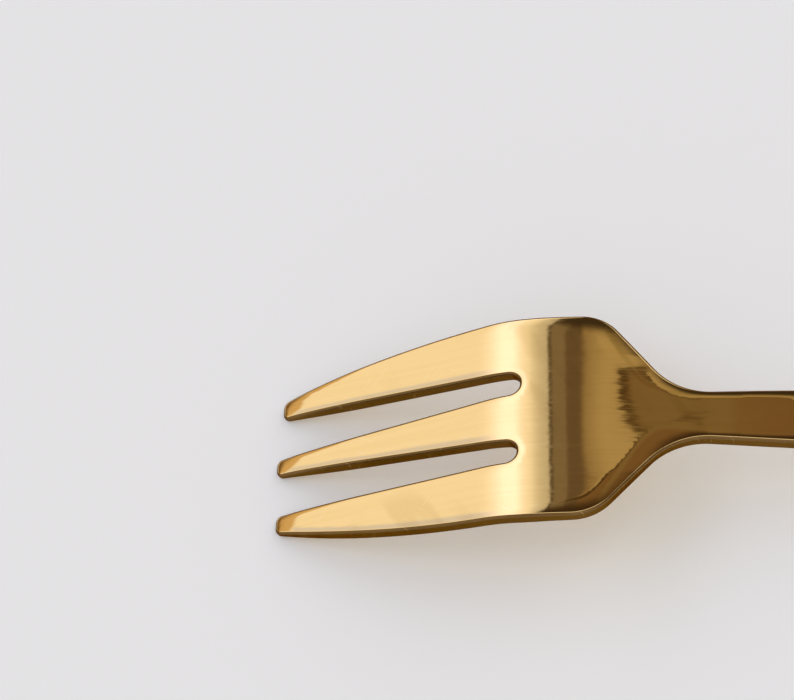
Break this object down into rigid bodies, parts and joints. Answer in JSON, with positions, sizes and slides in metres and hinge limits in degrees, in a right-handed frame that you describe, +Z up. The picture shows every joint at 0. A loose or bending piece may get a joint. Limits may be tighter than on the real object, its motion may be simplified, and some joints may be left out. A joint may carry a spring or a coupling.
{
  "type": "fork",
  "caption": "Slim dessert fork made of one bent sheet of polished gold-coloured steel, with tapered tines, a narrow neck and a flat flared handle.",
  "frame": {"origin": "centre of the fork's bounding box, on the plane it rests on", "axes": "+X from the tine tips to the end of the handle, +Y across the fork, +Z up out of its back, which faces up as it lies"},
  "size_m": [0.1532, 0.0212, 0.0097],
  "materials": {
    "gold_coated_steel": "polished stainless steel under a thin gold-coloured vapour coat, with fine lengthwise polishing lines"
  },
  "bodies": {
    "root": {"fork": "gold_coated_steel"}
  },
  "joints": []
}
